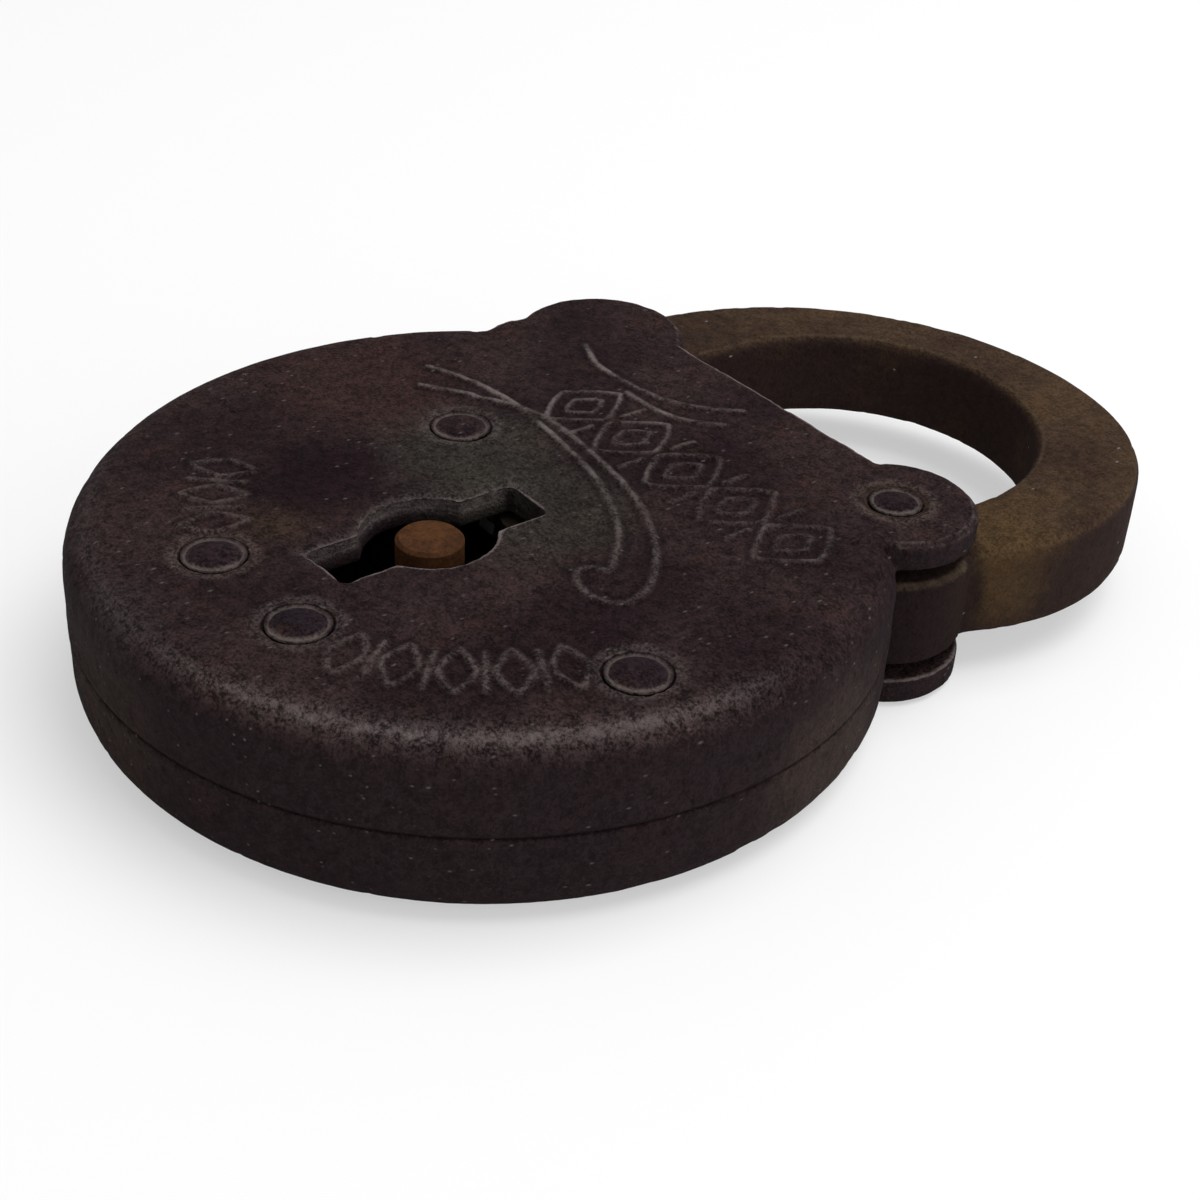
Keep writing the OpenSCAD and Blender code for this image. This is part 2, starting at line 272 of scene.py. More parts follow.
class EffectShop:
    """Builds each shared node group once and puts it into materials."""

    def __init__(self) -> None:
        """Starts with no group built."""
        self._built: dict[Effect, bpy.types.NodeTree] = {}
        self._makers: dict[Effect, Callable[[], bpy.types.NodeTree]] = {
            Effect.PATCHES: self._patches,
            Effect.SPECKLE: self._speckle,
            Effect.PITS: self._pits,
            Effect.NICKS: self._nicks,
            Effect.STAIN: self._stain,
            Effect.EDGES: self._edges,
        }

    def use(self, graph: Graph, effect: Effect, **inputs: object) -> bpy.types.NodeSocket:
        """Puts an effect into a material.

        Args:
            graph: The material's tree.
            effect: Which effect.
            **inputs: Values of the group's named inputs, with _ for a space.

        Returns:
            The effect's mask.
        """
        if effect not in self._built:
            self._built[effect] = self._makers[effect]()
        node = graph.add("ShaderNodeGroup", node_tree=self._built[effect])
        for name, value in inputs.items():
            socket = node.inputs[name.replace("_", " ").title()]
            if isinstance(value, bpy.types.NodeSocket):
                graph.link(value, socket)
            else:
                socket.default_value = value
        return node.outputs["Mask"]

    @staticmethod
    def _new(name: str, sockets: dict[str, float | None]) -> tuple[Graph, dict, bpy.types.Node]:
        """Makes an empty group.

        Args:
            name: The group's name.
            sockets: Input name to its first value, or None for a vector.

        Returns:
            The group's graph, its inputs by name and its output node.
        """
        tree = bpy.data.node_groups.new(name, "ShaderNodeTree")
        for title, value in sockets.items():
            kind = "NodeSocketVector" if value is None else "NodeSocketFloat"
            socket = tree.interface.new_socket(title, in_out="INPUT", socket_type=kind)
            if value is not None:
                socket.default_value = value
        tree.interface.new_socket("Mask", in_out="OUTPUT", socket_type="NodeSocketFloat")
        graph = Graph(tree)
        entry = graph.add("NodeGroupInput")
        return graph, {s.name: s for s in entry.outputs if s.name}, graph.add("NodeGroupOutput")

    def _patches(self) -> bpy.types.NodeTree:
        """Builds soft irregular patches of a given size in millimetres.

        Returns:
            The group.
        """
        graph, inp, out = self._new(
            "patches", {"Vector": None, "Size": 5.0, "Low": 0.4, "High": 0.6, "Seed": 0.0}
        )
        scale = graph.math("DIVIDE", 1.0, inp["Size"])
        noise = graph.add(
            "ShaderNodeTexNoise",
            {"Vector": inp["Vector"], "W": inp["Seed"], "Scale": scale, "Detail": 4.0, "Roughness": 0.6},
            noise_dimensions="4D",
        )
        graph.link(graph.ramp(noise.outputs[0], inp["Low"], inp["High"]), out.inputs[0])
        return graph.tree

    def _speckle(self) -> bpy.types.NodeTree:
        """Builds the fine even grain of rust.

        Returns:
            The group.
        """
        graph, inp, out = self._new("speckle", {"Vector": None, "Size": 0.4, "Seed": 0.0})
        scale = graph.math("DIVIDE", 1.0, inp["Size"])
        noise = graph.add(
            "ShaderNodeTexNoise",
            {"Vector": inp["Vector"], "W": inp["Seed"], "Scale": scale, "Detail": 3.0, "Roughness": 0.72},
            noise_dimensions="4D",
        )
        graph.link(graph.ramp(noise.outputs[0], 0.25, 0.75), out.inputs[0])
        return graph.tree

    def _pits(self) -> bpy.types.NodeTree:
        """Builds round pits, 1 at the middle of a pit.

        Returns:
            The group.
        """
        graph, inp, out = self._new("pits", {"Vector": None, "Size": 1.0, "Cover": 0.35})
        scale = graph.math("DIVIDE", 1.0, inp["Size"])
        warp = graph.add("ShaderNodeTexNoise", {"Vector": inp["Vector"], "Scale": scale, "Detail": 2.0})
        shift = graph.add("ShaderNodeVectorMath", {0: warp.outputs["Color"]}, operation="SCALE")
        shift.inputs["Scale"].default_value = 0.5
        place = graph.add("ShaderNodeVectorMath", {0: inp["Vector"], 1: shift.outputs[0]}, operation="ADD")
        cells = graph.add("ShaderNodeTexVoronoi", {"Vector": place.outputs[0], "Scale": scale})
        graph.link(graph.ramp(cells.outputs["Distance"], inp["Cover"], 0.0), out.inputs[0])
        return graph.tree

    def _nicks(self) -> bpy.types.NodeTree:
        """Builds a few tiny bare nicks, drawn out a little, a share of the cells having one.

        Returns:
            The group.
        """
        graph, inp, out = self._new("nicks", {"Vector": None, "Size": 1.0, "Share": 0.1, "Width": 0.12})
        scale = graph.math("DIVIDE", 1.0, inp["Size"])
        stretch = {0: inp["Vector"], 1: (0.8, 0.45, 1.0)}
        drawn = graph.add("ShaderNodeVectorMath", stretch, operation="MULTIPLY")
        cells = graph.add("ShaderNodeTexVoronoi", {"Vector": drawn.outputs[0], "Scale": scale})
        dot = graph.ramp(cells.outputs["Distance"], inp["Width"], 0.0)
        pick = graph.add("ShaderNodeSeparateColor", {0: cells.outputs["Color"]})
        chosen = graph.math("LESS_THAN", pick.outputs[0], inp["Share"])
        graph.link(graph.math("MULTIPLY", dot, chosen), out.inputs[0])
        return graph.tree

    def _stain(self) -> bpy.types.NodeTree:
        """Builds one ragged blot round a centre, all in millimetres.

        Returns:
            The group.
        """
        graph, inp, out = self._new(
            "stain", {"Vector": None, "Centre": None, "Radius": 3.0, "Edge": 2.0, "Ragged": 2.0, "Grain": 3.0}
        )
        gap = graph.add("ShaderNodeVectorMath", {0: inp["Vector"], 1: inp["Centre"]}, operation="DISTANCE")
        scale = graph.math("DIVIDE", 1.0, inp["Grain"])
        noise = graph.add(
            "ShaderNodeTexNoise", {"Vector": inp["Vector"], "Scale": scale, "Detail": 5.0, "Roughness": 0.65}
        )
        sway = graph.math("MULTIPLY", graph.math("SUBTRACT", noise.outputs[0], 0.5), inp["Ragged"])
        reach = graph.math("ADD", gap.outputs["Value"], graph.math("MULTIPLY", sway, 2.0))
        outer = graph.math("ADD", inp["Radius"], inp["Edge"])
        graph.link(graph.ramp(reach, outer, inp["Radius"]), out.inputs[0])
        return graph.tree

    def _edges(self) -> bpy.types.NodeTree:
        """Builds wear that follows a piece's own edges and breaks up along them.

        Returns:
            The group.
        """
        graph, inp, out = self._new(
            "edges", {"Vector": None, "Edge": 0.0, "Low": 0.3, "High": 0.8, "Size": 1.5}
        )
        scale = graph.math("DIVIDE", 1.0, inp["Size"])
        noise = graph.add(
            "ShaderNodeTexNoise", {"Vector": inp["Vector"], "Scale": scale, "Detail": 5.0, "Roughness": 0.8}
        )
        sway = graph.math("MULTIPLY", graph.math("SUBTRACT", noise.outputs[0], 0.5), 0.9)
        broken = graph.math("ADD", inp["Edge"], sway)
        graph.link(graph.ramp(broken, inp["Low"], inp["High"]), out.inputs[0])
        return graph.tree


# ----------------------------------------------------------------------------- finishes


@dataclass(frozen=True)
class Stain:
    """One coloured blot on a finish."""

    centre: tuple[float, float, float]
    radius: float
    edge: float
    ragged: float
    grain: float
    colour: Colour
    strength: float


@dataclass(frozen=True)
class Finish:
    """A weathered metal surface."""

    name: str
    slot: str
    base: Colour
    shade: Colour
    warm: Colour
    worn: Colour
    # The darker colour of the side walls, partly painted shade on them.
    flank: Colour | None = None
    patch_size: float = 9.0
    warm_size: float = 4.0
    warm_share: float = 0.5
    grain_size: float = 0.24
    grain_depth: float = 0.7
    bump_mm: float = 0.11
    pit_size: float = 1.1
    roughness: tuple[float, float] = (0.7, 0.95)
    worn_roughness: float = 0.45
    metallic: float = 0.0
    worn_metallic: float = 0.0
    specular: float = 0.02
    nick_share: float = 0.0
    nick: Colour = (0.25, 0.23, 0.22)
    edge_range: tuple[float, float] = (0.3, 0.9)
    stains: tuple[Stain, ...] = field(default=())
    seed: float = 0.0

    def build(self, shop: EffectShop) -> bpy.types.Material:
        """Makes the material.

        Args:
            shop: Where the shared effects come from.

        Returns:
            The material.
        """
        material = bpy.data.materials.new(self.name)
        material.use_nodes = True
        material.node_tree.nodes.clear()
        graph = Graph(material.node_tree)
        place = graph.add("ShaderNodeTexCoord").outputs["Object"]
        scaled = graph.add("ShaderNodeVectorMath", {0: place, "Scale": 1 / MM}, operation="SCALE")
        vector = scaled.outputs[0]

        sizes = ((self.grain_size, 0.0), (3.1 * self.grain_size, 1.7))
        speck, coarse = (
            shop.use(graph, Effect.SPECKLE, vector=vector, size=size, seed=self.seed + step)
            for size, step in sizes
        )
        grain = graph.math("ADD", graph.math("MULTIPLY", speck, 0.6), graph.math("MULTIPLY", coarse, 0.4))
        pit = shop.use(graph, Effect.PITS, vector=vector, size=self.pit_size, cover=0.32)
        colour = self._grained(graph, self._ground(graph, shop, vector), grain, pit)
        colour, wear = self._wear_and_painted_highlight(graph, shop, vector, colour, grain)

        rough = graph.ramp(speck, 0.0, 1.0, self.roughness)
        rough = graph.mix(wear, tone_of(graph, rough), (self.worn_roughness,) * 3)
        relief = graph.math("SUBTRACT", graph.math("MULTIPLY", grain, 1.2), pit)
        bump = graph.add("ShaderNodeBump", {"Height": relief, "Strength": 1.0, "Distance": self.bump_mm * MM})
        inputs = {
            "Base Color": colour, "Roughness": rough, "Normal": bump.outputs[0],
            "Specular IOR Level": self.specular,
        }
        shader = graph.add("ShaderNodeBsdfPrincipled", inputs)
        if self.worn_metallic or self.metallic:
            metal = graph.math("MULTIPLY", wear, self.worn_metallic - self.metallic)
            graph.link(graph.math("ADD", metal, self.metallic), shader.inputs["Metallic"])
        output = graph.add("ShaderNodeOutputMaterial")
        graph.link(shader.outputs[0], output.inputs["Surface"])
        return material

    def _ground(self, graph: Graph, shop: EffectShop, vector: bpy.types.NodeSocket) -> bpy.types.NodeSocket:
        """Mixes the metal's broad colours, its rust, its darker side walls, which are partly painted shade,
        and its stains.

        Args:
            graph: The material's tree.
            shop: Where the shared effects come from.
            vector: The place in millimetres.

        Returns:
            The colour.
        """
        broad = shop.use(
            graph, Effect.PATCHES, vector=vector, size=self.patch_size, low=0.35, high=0.65, seed=self.seed
        )
        colour = graph.mix(broad, self.shade, self.base)
        low = 0.72 - 0.4 * self.warm_share
        rusty = shop.use(
            graph, Effect.PATCHES, vector=vector, size=self.warm_size, low=low, high=low + 0.22,
            seed=self.seed + 3.1,
        )
        colour = graph.mix(graph.math("MULTIPLY", rusty, 0.85), colour, self.warm)
        if self.flank:
            # The side walls get a darker colour, which is partly painted shade.
            painted_side_shade = graph.mix(graph.math("MULTIPLY", rusty, 0.3), self.flank, self.warm)
            colour = graph.mix(graph.math("MULTIPLY", graph.stored("flank"), 0.9), colour, painted_side_shade)
        for stain in self.stains:
            blot = shop.use(
                graph, Effect.STAIN, vector=vector, centre=stain.centre, radius=stain.radius, edge=stain.edge,
                ragged=stain.ragged, grain=stain.grain,
            )
            colour = graph.mix(graph.math("MULTIPLY", blot, stain.strength), colour, stain.colour)
        return colour

    def _grained(
        self, graph: Graph, colour: bpy.types.NodeSocket, grain: bpy.types.NodeSocket,
        pit: bpy.types.NodeSocket,
    ) -> bpy.types.NodeSocket:
        """Breaks a colour up with the rust's grain, less on the side walls, and darkens the pits.

        Args:
            graph: The material's tree.
            colour: The colour.
            grain: The grain's mask.
            pit: The pits' mask.

        Returns:
            The colour.
        """
        tone = tone_of(graph, graph.ramp(grain, 0.15, 0.85, (1 - self.grain_depth, 1 + self.grain_depth)))
        if self.flank:
            tone = graph.mix(graph.math("MULTIPLY", graph.stored("flank"), 0.5), tone, (1.0, 1.0, 1.0))
        colour = graph.mix(1.0, colour, tone, "MULTIPLY")
        return graph.mix(graph.math("MULTIPLY", pit, 0.3), colour, [0.5 * c for c in self.shade])

    def _wear_and_painted_highlight(
        self, graph: Graph, shop: EffectShop, vector: bpy.types.NodeSocket, colour: bpy.types.NodeSocket,
        grain: bpy.types.NodeSocket,
    ) -> tuple[bpy.types.NodeSocket, bpy.types.NodeSocket]:
        """Adds the painted highlight, the worn edges, the darkening in the hollows, which holds painted shade
        in the gaps round the rivets and at the feet of the stamped lines, and the nicks.

        Args:
            graph: The material's tree.
            shop: Where the shared effects come from.
            vector: The place in millimetres.
            colour: The colour.
            grain: The grain's mask.

        Returns:
            The colour and the mask of the worn edges.
        """
        # Painted highlight: the stored mask lightens the colour towards the worn colour, broken up by the
        # grain into glints; a little of it is wear.
        glint = graph.ramp(grain, 0.25, 0.75, (0.1, 1.0))
        colour = graph.mix(graph.math("MULTIPLY", graph.stored("painted_highlight_and_wear"), glint), colour, self.worn)
        low, high = self.edge_range
        wear = shop.use(
            graph, Effect.EDGES, vector=vector, edge=graph.stored("edge"), low=low, high=high, size=0.9
        )
        colour = graph.mix(wear, colour, self.worn)
        # Darkens the hollows; this holds painted shade in the gaps round the rivets and at the feet of the
        # stamped lines.
        hollow_darkening = graph.math("MULTIPLY", graph.stored("hollow"), 0.8)
        colour = graph.mix(hollow_darkening, colour, [0.4 * c for c in self.shade])
        if self.nick_share:
            for size, width in ((1.1, 0.13), (0.6, 0.2)):
                nick = shop.use(
                    graph, Effect.NICKS, vector=vector, size=size, share=self.nick_share, width=width
                )
                colour = graph.mix(nick, colour, self.nick)
        return colour, wear


def tone_of(graph: Graph, value: bpy.types.NodeSocket) -> bpy.types.NodeSocket:
    """Turns a value into a grey colour."""
    return graph.add("ShaderNodeCombineColor", {0: value, 1: value, 2: value}).outputs[0]


# ----------------------------------------------------------------------------- skins


@dataclass(frozen=True)
class Relief:
    """Relief, wear and painted light that a piece adds to its skin, one value for each point."""

    sink: np.ndarray
    # dark also carries painted shade in the gaps round the rivets and at the feet of the stamped lines.
    dark: np.ndarray
    # bare also carries painted highlight on the shoulder ridge and the rivet rims.
    bare: np.ndarray
    plain: np.ndarray
    # A smooth lightening towards the worn colour: mostly painted highlight, partly wear.
    painted_highlight_and_wear: np.ndarray


@dataclass(frozen=True)
class Skin:
    """A worn, pitted surface grown over a construction node, which it stands for."""

    node: str
    name: str
    body: str
    voxel: float
    soften: int
    dent: float
    pit: float
    seed: int
    hidden: Callable[[np.ndarray], np.ndarray]
    shape: Callable[[np.ndarray, np.ndarray], Relief] | None = None
    crisp: Callable[[np.ndarray], np.ndarray] | None = None

    def build(self) -> bpy.types.Object:
        """Makes the skin and puts it in the node's place.

        Returns:
            The new object.
        """
        piece = self._remeshed()
        self._soften(piece.data)
        self._thin_out(piece)
        self._weather(piece.data)
        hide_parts(self.node)
        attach(piece, self.body)
        return piece

    def _remeshed(self) -> bpy.types.Object:
        """Makes an even mesh over the node's solid.

        Returns:
            The new object.
        """
        mesh = frame["nodes"][self.node].data.copy()
        mesh.materials.clear()
        work = bmesh.new()
        work.from_mesh(mesh)
        bmesh.ops.remove_doubles(work, verts=work.verts, dist=0.001 * MM)
        work.to_mesh(mesh)
        work.free()
        piece = bpy.data.objects.new(self.name, mesh)
        bpy.context.scene.collection.objects.link(piece)
        remesh = piece.modifiers.new("even", "REMESH")
        remesh.mode = "VOXEL"
        remesh.voxel_size = self.voxel * MM
        apply_modifiers(piece)
        return piece

    def _soften(self, mesh: bpy.types.Mesh) -> None:
        """Rounds the sharp edges of a mesh by a few passes of averaging.

        Args:
            mesh: The mesh.
        """
        points, pairs = read_mesh(mesh)
        rate = 0.5 * np.ones(len(points))
        if self.crisp:
            rate *= 1 - self.crisp(points)
        for _ in range(self.soften):
            points += rate[:, None] * (neighbour_mean(points, pairs) - points)
        write_points(mesh, points)

    def _thin_out(self, piece: bpy.types.Object) -> None:
        """Keeps few faces where nobody looks, inside the case.

        Args:
            piece: The skin's object.
        """
        points, _ = read_mesh(piece.data)
        inside = self.hidden(points)
        share = float(inside.mean())
        if share < 0.02:
            return
        group = piece.vertex_groups.new(name="hidden")
        group.add(np.nonzero(inside)[0].tolist(), 1.0, "REPLACE")
        thin = piece.modifiers.new("thin", "DECIMATE")
        thin.vertex_group = group.name
        thin.ratio = 1 - 0.9 * share
        apply_modifiers(piece)
        piece.vertex_groups.clear()

    def _weather(self, mesh: bpy.types.Mesh) -> None:
        """Adds dents, pits and shaped relief, and notes where the edges and hollows are.

        Args:
            mesh: The skin's mesh.
        """
        points, pairs = read_mesh(mesh)
        normals = vertex_normals(mesh)
        # flank marks the side walls; the finish darkens them, partly as painted shade.
        flank = ramp(normals[:, 2], 0.75, 0.25)
        curve = np.einsum("ij,ij->i", points - neighbour_mean(points, pairs), normals) / self.voxel
        for _ in range(3):
            curve = 0.4 * curve + 0.6 * neighbour_mean(curve[:, None], pairs)[:, 0]
        edge = 0.8 * ramp(curve, 0.01, 0.075) * (1 - 0.6 * flank)
        hollow = ramp(-curve, 0.015, 0.08)
        waves = 0.5 + 0.5 * Grain(6.5, self.seed).at(points)
        small = 0.5 + 0.5 * Grain(1.7, self.seed + 1).at(points)
        pits = Grain(0.95, self.seed + 2).at(points) + 0.35 * Grain(4.0, self.seed + 3).at(points)
        pits = ramp(pits, 0.28, 0.75)
        fine = 0.5 + 0.5 * Grain(0.42, self.seed + 4).at(points)
        sink = self.dent * (0.6 * waves + 0.4 * small) + self.pit * pits + 0.25 * self.pit * fine
        sink += edge * self.dent * 1.2 * ramp(Grain(1.3, self.seed + 5).at(points), 0.0, 0.8)
        if self.shape:
            extra = self.shape(points, normals)
            sink = sink * (1 - extra.plain) + extra.sink
            hollow = np.maximum(hollow * (1 - extra.plain), extra.dark)
            # The stored edge wear also carries the painted highlights in bare.
            edge = np.maximum(edge * (1 - extra.plain), extra.bare)
            set_attribute(mesh, "painted_highlight_and_wear", extra.painted_highlight_and_wear)
        write_points(mesh, points - normals * sink[:, None])
        set_attribute(mesh, "edge", edge)
        set_attribute(mesh, "hollow", hollow)
        set_attribute(mesh, "flank", flank)
        mesh.shade_smooth()


def apply_modifiers(piece: bpy.types.Object) -> None:
    """Makes a piece's modifiers part of its mesh.

    Args:
        piece: The piece.
    """
    bpy.context.view_layer.update()
    evaluated = piece.evaluated_get(bpy.context.evaluated_depsgraph_get())
    mesh = bpy.data.meshes.new_from_object(evaluated)
    old = piece.data
    piece.modifiers.clear()
    piece.data = mesh
    bpy.data.meshes.remove(old)


def read_mesh(mesh: bpy.types.Mesh) -> tuple[np.ndarray, np.ndarray]:
    """Reads a mesh.

    Args:
        mesh: The mesh.

    Returns:
        Its points in millimetres and its edges as pairs of point numbers.
    """
    points = np.empty(len(mesh.vertices) * 3)
    mesh.vertices.foreach_get("co", points)
    pairs = np.empty(len(mesh.edges) * 2, int)
    mesh.edges.foreach_get("vertices", pairs)
    return points.reshape(-1, 3) / MM, pairs.reshape(-1, 2)


def write_points(mesh: bpy.types.Mesh, points: np.ndarray) -> None:
    """Moves a mesh's points to places in millimetres."""
    mesh.vertices.foreach_set("co", (points * MM).ravel())
    mesh.update()


def vertex_normals(mesh: bpy.types.Mesh) -> np.ndarray:
    """Gives a mesh's normals, one row for each point."""
    normals = np.empty(len(mesh.vertices) * 3, np.float32)
    mesh.vertex_normals.foreach_get("vector", normals)
    return normals.reshape(-1, 3).astype(float)


def neighbour_mean(values: np.ndarray, pairs: np.ndarray) -> np.ndarray:
    """Averages the values of each point's neighbours.

    Args:
        values: One row for each point.
        pairs: The edges.

    Returns:
        One averaged row for each point.
    """
    count = np.bincount(pairs.ravel(), minlength=len(values))
    total = np.empty_like(values)
    for column in range(values.shape[1]):
        total[:, column] = np.bincount(pairs[:, 0], values[pairs[:, 1], column], len(values))
        total[:, column] += np.bincount(pairs[:, 1], values[pairs[:, 0], column], len(values))
    return total / np.maximum(count, 1)[:, None]


def set_attribute(mesh: bpy.types.Mesh, name: str, values: np.ndarray) -> None:
    """Stores one number for each point of a mesh."""
    layer = mesh.attributes.new(name, "FLOAT", "POINT")
    layer.data.foreach_set("value", values.astype(np.float32))


# ----------------------------------------------------------------------------- stamped ornament


@dataclass(frozen=True)
class Line:
    """A low raised line stamped on the face."""

    path: np.ndarray
    width: float = 0.95
    height: float = 0.2


def line_relief(lines: Sequence[Line], points: np.ndarray) -> tuple[np.ndarray, np.ndarray, np.ndarray]:
    """Works out how stamped lines raise a flat face.

    Args:
        lines: The lines.
        points: Places on the face in millimetres, one row each.

    Returns:
        The height at each place, how near its line's crest it is and how near its foot, from 0 to 1.
    """
    path = np.vstack([line.path for line in lines])
    half = np.concatenate([np.full(len(line.path), line.width / 2) for line in lines])
    high = np.concatenate([np.full(len(line.path), line.height) for line in lines])
    tree = KDTree(len(path))
    for i, (x, y) in enumerate(path):
        tree.insert((x, y, 0.0), i)
    tree.balance()
    found = [tree.find((x, y, 0.0))[1:] for x, y in points[:, :2]]
    line = np.array([i for i, _ in found])
    gap = np.array([gap for _, gap in found]) / half[line]
    crest = np.cos(0.5 * math.pi * np.clip(gap, 0, 1))
    return high[line] * crest, crest, ramp(gap, 2.0, 1.3) * ramp(gap, 0.55, 1.0)


@dataclass
class FaceDesign:
    """The stamped ornament on the keyhole side: a scroll, a swash, a lozenge band and rim marks."""

    step: float = 0.07
    band_y: float = 14.4
    band_x0: float = -7.4
    band_pitch: float = 6.1
    band_count: int = 5
    lozenge: Point2 = (2.75, 3.6)
    inner_lozenge: Point2 = (1.2, 1.75)
    lozenge_power: float = 1.18
    left_marks: tuple[float, float, float] = (19.4, -135.0, -112.0)
    right_marks: tuple[float, float, float] = (22.0, -58.5, -20.5)

    def band_centres(self) -> list[Point2]:
        """Gives the middle of each lozenge in the band."""
        return [(self.band_x0 + i * self.band_pitch, self.band_y) for i in range(self.band_count)]

    def field(self, points: np.ndarray) -> np.ndarray:
        """Says how far a point of the face lies in a lozenge's sunk field.

        Args:
            points: Places in millimetres, one row each.

        Returns:
            1 inside a field, 0 outside.
        """
        total = np.zeros(len(points))
        for x, y in self.band_centres():
            reach = (
                np.abs((points[:, 0] - x) / self.lozenge[0]) ** self.lozenge_power
                + np.abs((points[:, 1] - y) / self.lozenge[1]) ** self.lozenge_power
            )
            total = np.maximum(total, ramp(reach, 1.02, 0.86))
        return total

    def scroll(self) -> list[Line]:
        """Draws the long double line that ends in a curl.

        Returns:
            Its two lines.
        """
        upper = [
            (-19.6, 7.9), (-16.8, 9.0), (-13.8, 9.7), (-10.4, 10.0), (-6.6, 9.7), (-2.8, 9.2),
            (0.8, 8.6), (4.0, 7.6), (7.0, 6.3), (9.6, 4.6), (11.8, 2.6), (12.9, 1.2),
        ]
        lower = [
            (-17.2, 5.6), (-14.8, 7.3), (-12.6, 8.6), (-9.6, 10.1), (-6.6, 10.7), (-3.0, 10.5), (0.2, 10.1),
            (3.4, 9.6), (6.6, 8.7), (9.6, 7.4), (12.4, 5.7), (14.7, 3.8), (16.1, 2.0), (16.6, 0.3),
            (16.2, -0.9), (15.1, -1.6), (13.7, -1.7), (12.4, -1.2), (11.7, -0.3), (12.0, 0.7), (12.9, 1.2),
        ]
        return [Line(smooth_line(line, self.step)) for line in (upper, lower)]

    def swash(self) -> list[Line]:
        """Draws the short double line by the left ear."""
        upper = [
            (-16.0, 21.0), (-13.0, 19.8), (-10.4, 19.6), (-7.8, 19.9), (-5.4, 20.3), (-3.4, 21.2),
            (-1.6, 22.6), (0.0, 24.4),
        ]
        lower = [(-7.4, 18.7), (-5.0, 18.7), (-2.8, 19.0), (-0.8, 20.0), (1.0, 21.7)]
        return [Line(smooth_line(line, self.step), height=0.17) for line in (upper, lower)]

    def band(self) -> list[Line]:
        """Draws the row of outlined lozenges with bars between them.

        Returns:
            The row's lines.
        """
        lines = []
        for x, y in self.band_centres():
            for half_w, half_h in (self.lozenge, self.inner_lozenge):
                outline = super_oval(half_w, half_h, self.lozenge_power, 64) + (x, y)
                lines.append(Line(smooth_line(outline, self.step, closed=True), 0.8))
        for x, y in self.band_centres()[:-1]:
            for low, high in ((-3.6, -1.5), (1.5, 3.6)):
                bar = [(x + self.band_pitch / 2, y + t) for t in (low, (low + high) / 2, high)]
                lines.append(Line(smooth_line(bar, self.step), 0.8))
        return lines

    def rim_marks(self) -> list[Line]:
        """Draws small lozenges and strokes along the lower rim.

        Returns:
            The marks' lines.
        """
        lines = []
        for (mid_r, start, end), count in ((self.left_marks, 5), (self.right_marks, 9)):
            for i, angle in enumerate(np.radians(np.linspace(start, end, count))):
                out = np.array([math.cos(angle), math.sin(angle)])
                across = np.array([-out[1], out[0]])
                if i % 2 == 0:
                    oval = super_oval(2.4, 1.25, self.lozenge_power, 48)
                    outline = mid_r * out + oval[:, :1] * out + oval[:, 1:] * across
                    lines.append(Line(smooth_line(outline, self.step, closed=True), 0.85, 0.18))
                else:
                    ends = [tuple(out * (mid_r + reach)) for reach in (-2.1, 0.0, 2.1)]
                    lines.append(Line(smooth_line(ends, self.step), 0.9, 0.18))
        return lines

    def lines(self) -> list[Line]:
        """Gives all lines of the face."""
        return self.scroll() + self.swash() + self.band() + self.rim_marks()


# ----------------------------------------------------------------------------- sub-assemblies


